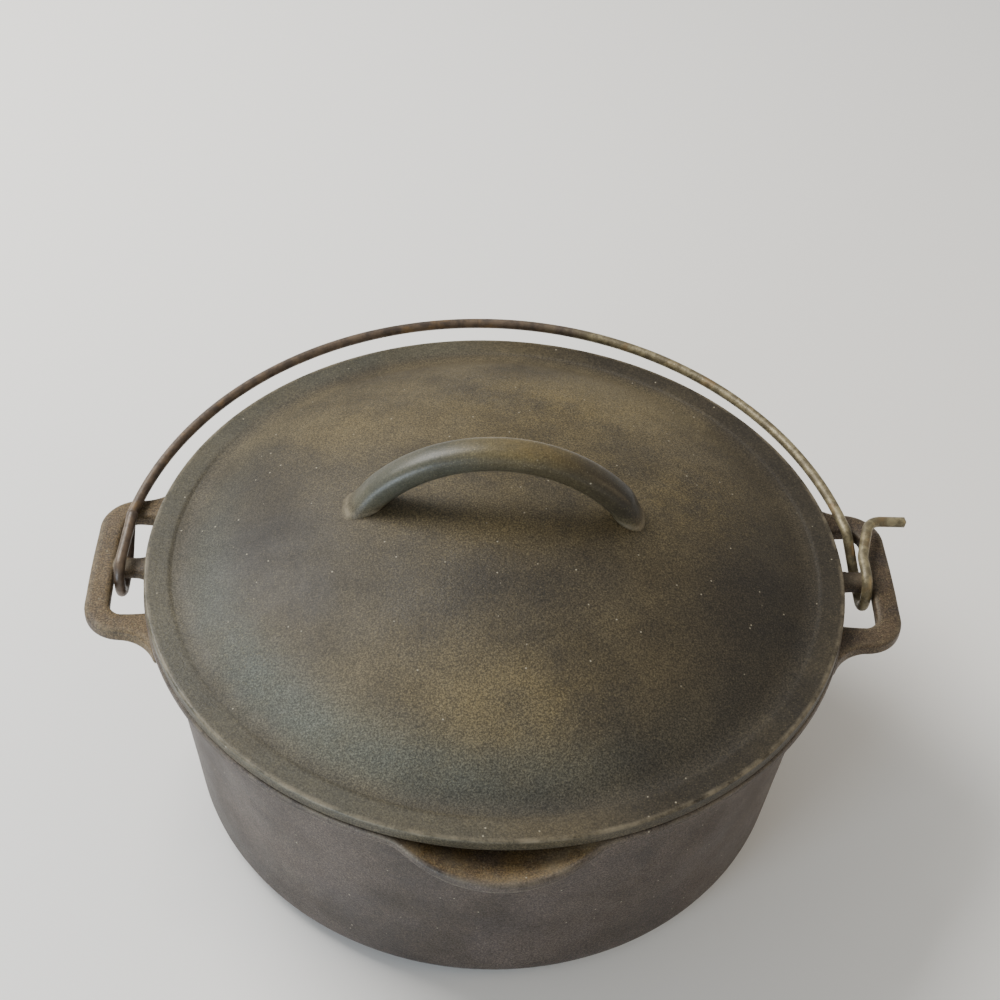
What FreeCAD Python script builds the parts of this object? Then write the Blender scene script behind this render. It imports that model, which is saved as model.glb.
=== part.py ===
import FreeCAD, Part
import math
import os

import Sketcher
from FreeCAD import Vector

# A cast iron dutch oven: a tapered pot, a domed lid that lifts off and a wire bail that swings on the
# pot's ears. Millimetres. The origin is the centre of the pot's flat bottom, +Z is up, the ears point
# along X and the pouring lip points along -Y.

SIZES = [
    # the pot
    ("rim_top", 105.0, "height of the rim's flat top, where the lid sits"),
    ("rim_radius", 137.0, "outer radius of the rim band"),
    ("rim_lap", 4.6, "how far the band stands out of the wall"),
    ("taper", 11.7, "how much smaller the wall's radius is at the floor than at the rim"),
    ("wall", 4.0, "thickness of the side wall"),
    ("bottom", 4.6, "thickness of the bottom"),
    ("foot_round", 13.3, "outer rounding between wall and bottom"),
    ("well_round", 12.0, "inner rounding between wall and bottom"),
    ("rim_height", 3.2, "height of the rim band's outer face"),
    ("rim_taper", 4.5, "height over which the band runs back into the wall"),
    ("edge_round", 1.1, "rounding of the worn cast edges"),
    # the pouring lip
    ("lip_overhang", 11.3, "how far the lip's outer edge lies beyond the rim"),
    ("lip_radius", 47.3, "radius of the lip's outline, seen from above"),
    ("lip_edge", 3.9, "thickness of the lip's outer edge"),
    ("lip_drop", 3.4, "how far the lip's edge lies below the rim"),
    ("lip_height", 24.0, "height of the flare under the lip"),
    ("lip_wall", 3.6, "thickness of the lip"),
    ("channel_depth", 14.4, "depth of the lip's channel at the pot's wall"),
    ("channel_edge", 2.7, "depth of the lip's channel at its outer edge"),
    # the ears
    ("ear_drop", 2.5, "how far the ears' flat top lies below the rim"),
    ("ear_thickness", 6.0, "thickness of the ears"),
    ("ear_overhang", 21.5, "how far an ear's outer edge lies beyond the rim"),
    ("ear_half", 36.5, "half the length of an ear along Y"),
    ("ear_round", 0.5, "rounding of the ears' worn edges"),
    ("ear_corner", 11.0, "rounding of an ear's outer corners"),
    ("ear_flare", 9.0, "radius of the sweep from an arm into the rim, and its width along Y"),
    ("flare_length", 12.3, "length of that sweep along X"),
    ("arm_width", 10.0, "width of an ear's two arms"),
    ("band_width", 9.3, "width of an ear's outer band"),
    ("window_corner", 4.0, "rounding of the window's outer corners"),
    ("bar_width", 9.4, "width of the bar that the bail hooks on"),
    ("bar_thickness", 5.0, "thickness of that bar"),
    ("bar_drop", 0.4, "how far the bar's top lies below the ears' top"),
    # the lid
    ("lid_inset", 0.5, "how much smaller the lid's radius is than the rim's"),
    ("lid_edge", 5.3, "thickness of the lid's flat edge"),
    ("flat_width", 14.5, "width of the lid's flat edge, out to its rim"),
    ("dome_height", 30.5, "height of the dome above the flat edge"),
    ("dome_wall", 4.2, "thickness of the dome"),
    ("dome_sweep", 20.0, "radius of the hollow between dome and flat edge"),
    ("ring_gap", 1.8, "play between the locating ring and the rim's bore"),
    ("ring_width", 4.0, "width of the locating ring"),
    ("ring_depth", 5.0, "depth of the locating ring"),
    ("lid_turn", -2.1, "angle at which the loose lid lies, in degrees"),
    ("grip_radius", 60.8, "radius of the arched handle's middle line"),
    ("grip_rise", 23.2, "height of that line's top above the dome"),
    ("grip_width", 13.0, "width of the handle"),
    ("grip_thickness", 11.0, "thickness of the handle"),
    ("stud_count", 6, "number of studs in the inner ring; each ring has as many more"),
    ("stud_width", 5.0, "diameter of a dripping stud under the lid"),
    ("stud_drop", 2.4, "how far a stud stands out of the dome"),
    ("stud_pitch", 29.0, "distance between the rings of studs"),
    # the bail
    ("wire", 4.3, "diameter of the bail's wire"),
    ("bow_clearance", 10.5, "how much larger the bow's radius is than the lid's"),
    ("bow_back", 35.0, "distance of the bow's centre in front of the rear arms"),
    ("bow_shift", -1.6, "distance of the bow's centre from the middle, along X"),
    ("bow_tilt", 4.5, "angle of the resting bail above the horizontal, in degrees"),
    ("rest_gap", 0.2, "gap between the resting wire and the ear"),
    ("kink_reach", 2.8, "how far in front of the rear arm the wire turns down to its loop"),
    ("loop_play", 1.15, "play between the bar and a hook's loop, all round"),
    ("loop_slack", 0.6, "how far the loop hangs off the bar's centre"),
    ("loop_round", 7.0, "bending radius of the loop"),
    ("loop_gap", 0.45, "gap between the loop and the ear's outer band"),
    ("hook_right", 35.0, "length of the right hook's returning leg"),
    ("hook_left", 30.0, "length of the left hook's returning leg"),
    ("hook_rise", 2.6, "how far the left hook's leg rises"),
    ("hook_spread", 5.2, "how far the right hook's leg spreads outwards"),
    ("hook_straight", 15.5, "length of the right hook's leg before it spreads"),
    ("spread_bend", 12.0, "bending radius where it starts to spread"),
    ("tip_length", 15.5, "length of the tip bent outwards on the right hook"),
    ("tip_bend", 6.0, "bending radius of that tip"),
]

# sizes that follow from those in the sheet
WALL_TOP = "(Sizes.rim_radius - Sizes.rim_lap)"
FOOT_RADIUS = f"({WALL_TOP} - Sizes.taper)"
EAR_TOP = "(Sizes.rim_top - Sizes.ear_drop)"
EAR_REACH = "(Sizes.rim_radius + Sizes.ear_overhang)"
LIP_REACH = "(Sizes.rim_radius + Sizes.lip_overhang)"
LID_RADIUS = "(Sizes.rim_radius - Sizes.lid_inset)"
DOME_RADIUS = f"({LID_RADIUS} - Sizes.flat_width)"
# height of the middle of the two bars, which is also the height of the bail's swing axis
BAR_HEIGHT = f"({EAR_TOP} - Sizes.bar_drop - Sizes.bar_thickness / 2)"

doc = FreeCAD.newDocument("dutch_oven")
sheet = doc.addObject("Spreadsheet::Sheet", "Sizes")
for row, (alias, size, meaning) in enumerate(SIZES, start=1):
    sheet.set(f"A{row}", meaning)
    sheet.set(f"B{row}", str(size))
    sheet.setAlias(f"B{row}", alias)
doc.recompute()


def value(expression):
    """The number that an expression on the sheet works out to."""
    number = sheet.evalExpression(expression)
    return float(getattr(number, "Value", number))


def origin_plane(body, role):
    """One of the three planes of a body's own origin."""
    return next(plane for plane in body.Origin.OriginFeatures if plane.Role == role)


def add_sketch(body, name, role, **offsets):
    """A sketch on an origin plane of its body, moved in the plane's own axes by expressions."""
    sketch = body.newObject("Sketcher::SketchObject", name)
    sketch.AttachmentSupport = (origin_plane(body, role), "")
    sketch.MapMode = "FlatFace"
    for axis, expression in offsets.items():
        sketch.setExpression(f"AttachmentOffset.Base.{axis}", expression)
    doc.recompute()
    return sketch


def pin_point(sketch, geometry, end, place):
    """Ties one end of a sketch line or arc to two expressions."""
    for kind, axis, expression in (("DistanceX", -2, place[0]), ("DistanceY", -1, place[1])):
        if expression == "0":
            sketch.addConstraint(Sketcher.Constraint("PointOnObject", geometry, end, axis))
            continue
        index = sketch.addConstraint(Sketcher.Constraint(kind, -1, 1, geometry, end, value(expression)))
        sketch.setExpression(f"Constraints[{index}]", expression)


def arc_radius(corner, chord):
    """The signed radius of the arc that runs on from a corner: positive bulges left of the chord."""
    return -chord.Length / 2 if corner[2] == "half" else value(corner[2])


def draw_outline(sketch, corners):
    """A closed outline. A corner is (x, y) or (x, y, radius): the radius of the arc that runs on from
    it, which bulges to the left of its chord when positive. A radius of "half" is a half-round end
    over an upright chord, which bulges to the right."""
    places = [Vector(value(corner[0]), value(corner[1]), 0) for corner in corners]
    chords = [end - start for start, end in zip(places, places[1:] + places[:1])]
    bends = [arc_radius(corner, chord) if len(corner) == 3 else 0 for corner, chord in zip(corners, chords)]
    for start, chord, bend in zip(places, chords, bends):
        if bend == 0:
            sketch.addGeometry(Part.LineSegment(start, start + chord), False)
            continue
        left = Vector(-chord.y, chord.x, 0).normalize() * math.copysign(1, bend)
        rise = abs(bend) - math.sqrt(max(bend ** 2 - (chord.Length / 2) ** 2, 0))
        sketch.addGeometry(Part.Arc(start, start + chord / 2 + left * rise, start + chord), False)
    for index, (corner, bend) in enumerate(zip(corners, bends)):
        # an arc runs anticlockwise, so one that bulges to the left starts at its own second end
        following = (index + 1) % len(corners)
        begin, finish = (2, 1) if bend > 0 else (1, 2)
        join = 2 if bends[following] > 0 else 1
        sketch.addConstraint(Sketcher.Constraint("Coincident", index, finish, following, join))
        pin_point(sketch, index, begin, corner)
        if bend == 0:
            continue
        if corner[2] == "half":
            sketch.addConstraint(Sketcher.Constraint("Vertical", index, 3, index, begin))
            continue
        size = sketch.addConstraint(Sketcher.Constraint("Radius", index, abs(bend)))
        sketch.setExpression(f"Constraints[{size}]", f"abs({corner[2]})")
    doc.recompute()


def draw_stadium(sketch, width, thickness, height="0"):
    """A section with two flats and two half-round ends, whose middle lies at this height."""
    flat = f"({width} - {thickness}) / 2"
    low, high = f"{height} - {thickness} / 2", f"{height} + {thickness} / 2"
    draw_outline(sketch, [
        (f"-({flat})", low),
        (flat, low, "half"),
        (flat, high),
        (f"-({flat})", high, "half"),
    ])


def changed(body, feature, added):
    """Recomputes, and refuses a feature that did not add to or take from its body as it should."""
    before = feature.BaseFeature.Shape.Volume if feature.BaseFeature else 0
    doc.recompute()
    growth = feature.Shape.Volume - before
    if growth <= 0 if added else growth >= 0:
        raise ValueError(f"{feature.Name} changes {body.Name} by {growth:.1f} cubic millimetres")
    return feature


def revolve(body, name, sketch, axis="V_Axis", kind="Revolution", angle=None):
    """A revolution or a groove about one of the sketch's axes, a full turn unless an angle is given."""
    feature = body.newObject(f"PartDesign::{kind}", name)
    feature.Profile = sketch
    feature.ReferenceAxis = (sketch, [axis])
    feature.Angle = 360
    if angle:
        feature.Midplane = True
        feature.setExpression("Angle", angle)
    return changed(body, feature, kind == "Revolution")


def extrude(body, name, sketch, length, kind="Pad", reverse=False):
    """A pad or a pocket whose length is an expression."""
    feature = body.newObject(f"PartDesign::{kind}", name)
    feature.Profile = sketch
    feature.Reversed = reverse
    feature.setExpression("Length", length)
    return changed(body, feature, kind == "Pad")


def round_edges(body, name, base, radius, chosen):
    """A fillet on every edge of the base feature for which chosen(edge) is true."""
    names = [f"Edge{index}" for index, edge in enumerate(base.Shape.Edges, start=1) if chosen(edge)]
    feature = body.newObject("PartDesign::Fillet", name)
    feature.Base = (base, names)
    feature.setExpression("Radius", radius)
    doc.recompute()
    return feature


def is_circle(edge, radius, height):
    """Whether an edge is the circle about Z with this radius at this height, or a part of it."""
    box = edge.BoundBox
    level = abs(box.ZMin - height) < 0.02 and abs(box.ZMax - height) < 0.02
    return level and all(abs(math.hypot(end.X, end.Y) - radius) < 0.02 for end in edge.Vertexes)


def make_pot():
    """The pot: one casting with its rim, pouring lip, two ears and the bars that carry the bail."""
    body = doc.addObject("PartDesign::Body", "pot")

    # the solid outside: tapered wall and rim band
    slope = f"({WALL_TOP} - {FOOT_RADIUS}) / Sizes.rim_top"
    band_low = "Sizes.rim_top - Sizes.rim_height"
    taper_low = f"{band_low} - Sizes.rim_taper"
    outside = add_sketch(body, "outside_profile", "XZ_Plane")
    draw_outline(outside, [
        ("0", "0"),
        (FOOT_RADIUS, "0"),
        (f"{FOOT_RADIUS} + ({slope}) * ({taper_low})", taper_low),
        ("Sizes.rim_radius", band_low),
        ("Sizes.rim_radius", "Sizes.rim_top"),
        ("0", "Sizes.rim_top"),
    ])
    shell = revolve(body, "outside", outside)
    shell = round_edges(body, "foot", shell, "Sizes.foot_round",
                        lambda edge: is_circle(edge, value(FOOT_RADIUS), 0))

    # the flare under the pouring lip, turned about its own upright axis
    lip_axis = f"Sizes.lip_radius - {LIP_REACH}"
    lip_top = "Sizes.rim_top - Sizes.lip_drop"
    lip_low = f"{lip_top} - Sizes.lip_height"
    lip_foot = f"{FOOT_RADIUS} + ({slope}) * ({lip_low}) - Sizes.wall / 2 + {lip_axis}"
    flare = add_sketch(body, "lip_profile", "YZ_Plane", x=lip_axis)
    draw_outline(flare, [
        ("0", lip_low),
        (lip_foot, lip_low),
        ("Sizes.lip_radius", f"{lip_top} - Sizes.lip_edge"),
        ("Sizes.lip_radius", lip_top),
        ("0", lip_top),
    ])
    revolve(body, "lip", flare)

    # the ears: a flat ring with one window, then the bar across its middle
    root = f"{WALL_TOP} - Sizes.wall / 2"
    flare_y = "(Sizes.ear_half + Sizes.ear_flare)"
    flare_x = f"sqrt(Sizes.rim_radius ^ 2 - {flare_y} ^ 2)"
    shoulder = f"({flare_x} + Sizes.flare_length)"
    window = f"{EAR_REACH} - Sizes.band_width"
    gap = "Sizes.ear_half - Sizes.arm_width"
    for side, word in ((1, "right"), (-1, "left")):
        ear = add_sketch(body, f"{word}_ear_outline", "XY_Plane", z=f"{EAR_TOP} - Sizes.ear_thickness")
        turn = f"{side} * "
        inner_x = f"{turn}sqrt(({root}) ^ 2 - {flare_y} ^ 2)"
        draw_outline(ear, [
            (inner_x, f"-{flare_y}"),
            (f"{turn}{flare_x}", f"-{flare_y}", f"{turn}Sizes.ear_flare"),
            (f"{turn}{shoulder}", "-Sizes.ear_half"),
            (f"{turn}({EAR_REACH} - Sizes.ear_corner)", "-Sizes.ear_half", f"{-side} * Sizes.ear_corner"),
            (f"{turn}{EAR_REACH}", "-(Sizes.ear_half - Sizes.ear_corner)"),
            (f"{turn}{EAR_REACH}", "Sizes.ear_half - Sizes.ear_corner", f"{-side} * Sizes.ear_corner"),
            (f"{turn}({EAR_REACH} - Sizes.ear_corner)", "Sizes.ear_half"),
            (f"{turn}{shoulder}", "Sizes.ear_half", f"{turn}Sizes.ear_flare"),
            (f"{turn}{flare_x}", flare_y),
            (inner_x, flare_y),
        ])
        extrude(body, f"{word}_ear", ear, "Sizes.ear_thickness")

        opening = add_sketch(body, f"{word}_window_outline", "XY_Plane", z=f"{EAR_TOP} + Sizes.edge_round")
        draw_outline(opening, [
            (f"{turn}sqrt(Sizes.rim_radius ^ 2 - ({gap}) ^ 2)", f"-({gap})"),
            (f"{turn}({window} - Sizes.window_corner)", f"-({gap})", f"{-side} * Sizes.window_corner"),
            (f"{turn}({window})", f"-({gap} - Sizes.window_corner)"),
            (f"{turn}({window})", f"{gap} - Sizes.window_corner", f"{-side} * Sizes.window_corner"),
            (f"{turn}({window} - Sizes.window_corner)", gap),
            (f"{turn}sqrt(Sizes.rim_radius ^ 2 - ({gap}) ^ 2)", gap, f"{side} * Sizes.rim_radius"),
        ])
        extrude(body, f"{word}_window", opening, "Sizes.ear_thickness + 2 * Sizes.edge_round", kind="Pocket")

        bar = add_sketch(body, f"{word}_bar_section", "YZ_Plane", y=BAR_HEIGHT,
                         z=f"{turn}({EAR_REACH} - Sizes.band_width / 2)")
        draw_stadium(bar, "Sizes.bar_width", "Sizes.bar_thickness")
        extrude(body, f"{word}_bar", bar, f"{EAR_REACH} - Sizes.band_width / 2 - ({root})",
                reverse=side > 0)

    # the inside: bore, well and the lip's dished channel
    bore = f"{WALL_TOP} - Sizes.wall"
    inside = add_sketch(body, "inside_profile", "XZ_Plane")
    draw_outline(inside, [
        ("0", "Sizes.bottom"),
        (f"{bore} - ({slope}) * (Sizes.rim_top - Sizes.bottom)", "Sizes.bottom"),
        (f"{bore} + ({slope}) * Sizes.edge_round", "Sizes.rim_top + Sizes.edge_round"),
        ("0", "Sizes.rim_top + Sizes.edge_round"),
    ])
    hollow = revolve(body, "inside", inside, kind="Groove")
    well = value(f"{bore} - ({slope}) * (Sizes.rim_top - Sizes.bottom)")
    round_edges(body, "well", hollow, "Sizes.well_round",
                lambda edge: is_circle(edge, well, value("Sizes.bottom")))
    channel = add_sketch(body, "channel_profile", "YZ_Plane", x=lip_axis)
    channel_mouth = "Sizes.lip_radius - Sizes.lip_wall / 2"
    channel_foot = f"{bore} + {lip_axis} - Sizes.lip_wall / 2"
    draw_outline(channel, [
        ("0", f"{lip_top} - Sizes.channel_depth"),
        (channel_foot, f"{lip_top} - Sizes.channel_depth"),
        (f"{channel_mouth} - Sizes.lip_wall", f"{lip_top} - Sizes.channel_edge"),
        (channel_mouth, lip_top),
        (channel_mouth, "Sizes.rim_top + Sizes.edge_round"),
        ("0", "Sizes.rim_top + Sizes.edge_round"),
    ])
    revolve(body, "channel", channel, kind="Groove")

    # the worn edges round the outside of the ears
    faces = [value(EAR_TOP), value(f"{EAR_TOP} - Sizes.ear_thickness")]
    inner_x, outer_x, inner_y = value(shoulder), value(window) + 1, value(gap) + 1

    def is_outer(edge, side):
        box, centre = edge.BoundBox, edge.CenterOfMass
        level = any(abs(box.ZMin - face) < 0.01 and abs(box.ZMax - face) < 0.01 for face in faces)
        across = centre.x * side
        return level and across > inner_x and (abs(centre.y) > inner_y or across > outer_x)

    for side, word in ((1, "right"), (-1, "left")):
        round_edges(body, f"worn_{word}_ear", body.Tip, "Sizes.ear_round", lambda edge: is_outer(edge, side))
    return body


def make_lid():
    """The lid: one casting with its dome, locating ring, arched handle and dripping studs."""
    body = doc.addObject("PartDesign::Body", "lid")
    top = "Sizes.rim_top + Sizes.lid_edge"
    ring = f"{WALL_TOP} - Sizes.wall - Sizes.ring_gap"
    low = "Sizes.rim_top - Sizes.ring_depth"
    ball = f"({DOME_RADIUS} ^ 2 + Sizes.dome_height ^ 2) / (2 * Sizes.dome_height)"
    crown = f"{top} + Sizes.dome_height"

    outside = add_sketch(body, "lid_profile", "XZ_Plane")
    draw_outline(outside, [
        ("0", low),
        (ring, low),
        (ring, "Sizes.rim_top"),
        (LID_RADIUS, "Sizes.rim_top"),
        (LID_RADIUS, top),
        (DOME_RADIUS, top, f"-({ball})"),
        ("0", crown),
    ])
    dome = revolve(body, "dome", outside)
    dome = round_edges(body, "sweep", dome, "Sizes.dome_sweep",
                       lambda edge: is_circle(edge, value(DOME_RADIUS), value(top)))
    worn = [value(top), value("Sizes.rim_top")]
    round_edges(body, "worn_lid", dome, "Sizes.edge_round",
                lambda edge: any(is_circle(edge, value(LID_RADIUS), level) for level in worn))

    # the handle: part of a ring about a level axis, whose feet run into the dome
    centre = f"{crown} + Sizes.grip_rise - Sizes.grip_radius"
    grip = add_sketch(body, "grip_section", "YZ_Plane", y=centre)
    draw_stadium(grip, "Sizes.grip_width", "Sizes.grip_thickness", "Sizes.grip_radius")
    reach = "2 * acos(1 - (Sizes.grip_rise + Sizes.grip_thickness) / Sizes.grip_radius)"
    revolve(body, "grip", grip, axis="H_Axis", angle=reach)

    # the hollow under the dome, which also trims the handle's roots
    bore = f"{ring} - Sizes.ring_width"
    middle = f"{crown} - ({ball})"
    inner_ball = f"({ball}) - Sizes.dome_wall"
    hollow = add_sketch(body, "hollow_profile", "XZ_Plane")
    draw_outline(hollow, [
        ("0", f"{low} - Sizes.edge_round"),
        (bore, f"{low} - Sizes.edge_round"),
        (bore, f"{middle} + sqrt(({inner_ball}) ^ 2 - ({bore}) ^ 2)", f"-({inner_ball})"),
        ("0", f"{crown} - Sizes.dome_wall"),
    ])
    revolve(body, "hollow", hollow, kind="Groove")

    # rings of small studs that drip the condensed steam back over the food
    for ring_number in (1, 2, 3):
        distance = f"{ring_number} * Sizes.stud_pitch"
        skin = f"{middle} + sqrt(({inner_ball}) ^ 2 - ({distance}) ^ 2)"
        stud = add_sketch(body, f"stud_outline_{ring_number}", "XY_Plane", z=f"{skin} - Sizes.stud_drop")
        circle = stud.addGeometry(Part.Circle(Vector(value(distance), 0, 0), Vector(0, 0, 1), 1), False)
        pin_point(stud, circle, 3, (distance, "0"))
        size = stud.addConstraint(Sketcher.Constraint("Radius", circle, 1.0))
        stud.setExpression(f"Constraints[{size}]", "Sizes.stud_width / 2")
        first = extrude(body, f"stud_{ring_number}", stud, "Sizes.stud_drop + Sizes.dome_wall / 2")
        around = body.newObject("PartDesign::PolarPattern", f"studs_{ring_number}")
        around.Originals = [first]
        around.Axis = (stud, ["N_Axis"])
        around.Angle = 360
        around.setExpression("Occurrences", f"Sizes.stud_count * {ring_number}")
        body.Tip = around
        doc.recompute()

    body.setExpression("Placement.Rotation.Yaw", "Sizes.lid_turn * 1 deg")
    doc.recompute()
    return body


def bent_wire(corners, bends):
    """Straight runs through the corners, joined by tangent arcs of the given radii."""
    edges = []
    last = corners[0]
    for before, corner, after, bend in zip(corners, corners[1:], corners[2:], bends):
        into = (corner - before).normalize()
        out = (after - corner).normalize()
        turn = into.getAngle(out)
        setback = bend * math.tan(turn / 2)
        start, end = corner - into * setback, corner + out * setback
        inward = (out - into).normalize()
        middle = corner + inward * (bend / math.cos(turn / 2) - bend)
        edges += [Part.LineSegment(last, start).toShape(), Part.Arc(start, middle, end).toShape()]
        last = end
    edges.append(Part.LineSegment(last, corners[-1]).toShape())
    return edges


def make_bail():
    """The bail: one length of round wire, bent to a bow with a hook at each end. It lies back on the
    rear arms of the ears, and its hooks loop round the bars."""
    names = [alias for alias, size, meaning in SIZES]
    size = {alias: value(f"Sizes.{alias}") for alias in names}
    half_wire = size["wire"] / 2
    axis_height = value(BAR_HEIGHT)
    loop_x = value(EAR_REACH) - size["band_width"] - size["loop_gap"] - half_wire
    loop_radius = size["bar_width"] / 2 + half_wire + size["loop_play"]
    loop_front = -size["loop_slack"] - loop_radius
    loop_middle = axis_height - size["loop_slack"]
    over, under = loop_middle + loop_radius, loop_middle - loop_radius

    # the bow's plane rests on the front edge of the rear arms
    tilt = math.radians(size["bow_tilt"])
    back = Vector(0, math.cos(tilt), math.sin(tilt))
    rest = Vector(0, size["ear_half"] - size["arm_width"], value(EAR_TOP) + half_wire + size["rest_gap"])
    arm_middle = rest + back * (size["arm_width"] / 2)
    middle = arm_middle + Vector(size["bow_shift"], 0, 0) - back * size["bow_back"]
    bow_radius = value(LID_RADIUS) + size["bow_clearance"]
    half_span = math.sqrt(bow_radius ** 2 - size["bow_back"] ** 2)

    sides = {}
    for side in (1, -1):
        end = middle + back * size["bow_back"] + Vector(side * half_span, 0, 0)
        tangent = (Vector(side * size["bow_back"], 0, 0) - back * half_span).normalize()
        kink = end + tangent * (size["arm_width"] / 2 + size["kink_reach"])
        sides[side] = [
            end,
            kink,
            Vector(side * loop_x, size["bar_width"] / 2 + size["wire"], under),
            Vector(side * loop_x, loop_front, under),
            Vector(side * loop_x, loop_front, over),
        ]
    loop_bends = [size["tip_bend"], size["tip_bend"], size["loop_round"], size["loop_round"]]
    spread_start = Vector(loop_x, loop_front + size["hook_straight"], over)
    right_end = Vector(loop_x + size["hook_spread"], loop_front + size["hook_right"], over + half_wire / 2)
    right = sides[1] + [spread_start, right_end, right_end + Vector(size["tip_length"], 0, 0)]
    left = sides[-1] + [Vector(-loop_x + half_wire, loop_front + size["hook_left"], over + size["hook_rise"])]
    crown = middle + back * bow_radius
    path = list(reversed(bent_wire(right, loop_bends + [size["spread_bend"], size["tip_bend"]])))
    path.append(Part.Arc(right[0], crown, left[0]).toShape())
    path += bent_wire(left, loop_bends)
    length = sum(edge.Length for edge in path)
    spine = Part.Wire(Part.__sortEdges__(path))
    tip = right[-1]
    section = Part.Wire(Part.Circle(tip, Vector(1, 0, 0), half_wire).toShape())
    solid = spine.makePipeShell([section], True, False)
    expected = math.pi * half_wire ** 2 * length
    print(f"bail: {length:.1f} mm of wire, volume {solid.Volume:.0f}, section times length {expected:.0f}")
    if abs(solid.Volume - expected) > 0.01 * expected:
        raise ValueError("the bail's sweep has lost volume")
    bail = doc.addObject("Part::Feature", "bail")
    bail.Shape = solid
    return bail


def check_document(parts):
    """Refuses a document with a failed object, or a sub-part that is not one valid solid."""
    failed = [thing.Name for thing in doc.Objects if {"Invalid", "Error"} & set(thing.State)]
    if failed:
        raise ValueError(f"failed objects: {failed}")
    for part in parts:
        shape = part.Shape
        if shape.isNull() or not shape.isValid() or len(shape.Solids) != 1:
            raise ValueError(f"{part.Label} is not one valid solid")


built = [make_pot(), make_lid(), make_bail()]
doc.recompute()
check_document(built)
os.makedirs("parts", exist_ok=True)
for part in built:
    part.Shape.exportStep(f"parts/{part.Label}.step")
    print(f"{part.Label}: {part.Shape.Volume / 1000:.1f} cubic centimetres")
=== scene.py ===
import math

import bpy
import numpy as np
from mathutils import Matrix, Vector


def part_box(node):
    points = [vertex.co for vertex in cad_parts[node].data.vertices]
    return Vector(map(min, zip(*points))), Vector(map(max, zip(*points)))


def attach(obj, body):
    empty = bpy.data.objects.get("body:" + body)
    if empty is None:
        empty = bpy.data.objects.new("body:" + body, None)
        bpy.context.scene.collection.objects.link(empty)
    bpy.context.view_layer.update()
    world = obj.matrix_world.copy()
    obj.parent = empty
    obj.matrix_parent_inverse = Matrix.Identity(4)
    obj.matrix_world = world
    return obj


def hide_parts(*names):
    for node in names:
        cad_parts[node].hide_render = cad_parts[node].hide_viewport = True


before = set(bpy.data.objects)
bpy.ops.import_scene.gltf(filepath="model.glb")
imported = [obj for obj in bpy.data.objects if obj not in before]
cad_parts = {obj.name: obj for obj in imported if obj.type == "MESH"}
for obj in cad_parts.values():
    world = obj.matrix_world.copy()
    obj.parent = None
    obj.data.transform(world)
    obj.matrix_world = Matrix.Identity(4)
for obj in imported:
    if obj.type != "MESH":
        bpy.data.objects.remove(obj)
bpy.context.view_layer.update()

# --- The studio -------------------------------------------------------------------------------------
# A pale table top, a large soft light above and behind the oven's left side, a low cool window to the
# front left and a small warm lamp to the right. The camera looks down at the oven from the front.

CAMERA_PLACE = (-0.0258, -0.5066, 0.6185)
CAMERA_TURN = (46.663, -2.360, -0.710)
LENS = 65.87
SENSOR_WIDTH = 36
ROOM_COLOUR = (0.86, 0.86, 0.84, 1)
ROOM_STRENGTH = 0.52
TABLE_COLOUR = (0.93, 0.92, 0.90, 1)
TABLE_ROUGHNESS = 0.8
# wide enough that its edge shows from no side
TABLE_HALF = 30.0

camera = bpy.data.objects.new("camera", bpy.data.cameras.new("camera"))
bpy.context.scene.collection.objects.link(camera)
bpy.context.scene.camera = camera
camera.location = CAMERA_PLACE
camera.rotation_euler = [math.radians(angle) for angle in CAMERA_TURN]
camera.data.lens = LENS
camera.data.sensor_width = SENSOR_WIDTH


def add_panel(name, place, aim, width, power, colour):
    """A square soft light at a place, turned to face another."""
    lamp = bpy.data.lights.new(name, "AREA")
    lamp.size = width
    lamp.energy = power
    lamp.color = colour
    panel = bpy.data.objects.new(name, lamp)
    panel.location = place
    panel.rotation_euler = (Vector(aim) - Vector(place)).to_track_quat("-Z", "Y").to_euler()
    bpy.context.scene.collection.objects.link(panel)


add_panel("sky_light", (-0.85, 0.55, 1.15), aim=(0, 0, 0.08), width=0.9, power=33, colour=(1.0, 0.98, 0.94))
add_panel("window", (-0.88, -0.92, 0.16), aim=(0, 0, 0.11), width=0.42, power=15, colour=(0.74, 0.87, 1.0))
add_panel("lamp", (0.95, -0.25, 0.5), aim=(0.15, 0, 0.02), width=0.4, power=1.6, colour=(1.0, 0.78, 0.46))

world = bpy.data.worlds.new("room")
bpy.context.scene.world = world
world.use_nodes = True
room_light = world.node_tree.nodes["Background"].inputs
room_light["Color"].default_value = ROOM_COLOUR
room_light["Strength"].default_value = ROOM_STRENGTH


def new_material(name):
    """An empty node material, its nodes and its shader."""
    material = bpy.data.materials.new(name)
    material.use_nodes = True
    tree = material.node_tree
    return material, tree, tree.nodes["Principled BSDF"]


table_sheet = bpy.data.meshes.new("table")
table_corners = [(-1, -1), (1, -1), (1, 1), (-1, 1)]
table_sheet.from_pydata([(x * TABLE_HALF, y * TABLE_HALF, 0) for x, y in table_corners], [], [(0, 1, 2, 3)])
table_top = bpy.data.objects.new("table", table_sheet)
bpy.context.scene.collection.objects.link(table_top)
table_cloth, _, cloth_shader = new_material("table_cloth")
cloth_shader.inputs["Base Color"].default_value = TABLE_COLOUR
cloth_shader.inputs["Roughness"].default_value = TABLE_ROUGHNESS
table_sheet.materials.append(table_cloth)

# --- The pot ----------------------------------------------------------------------------------------
# One iron casting: a tapered wall with a rim band, a flat bottom and one pouring lip at the front. The
# outside is left as it came from the sand and is dark with years of baked-on oil.

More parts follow.
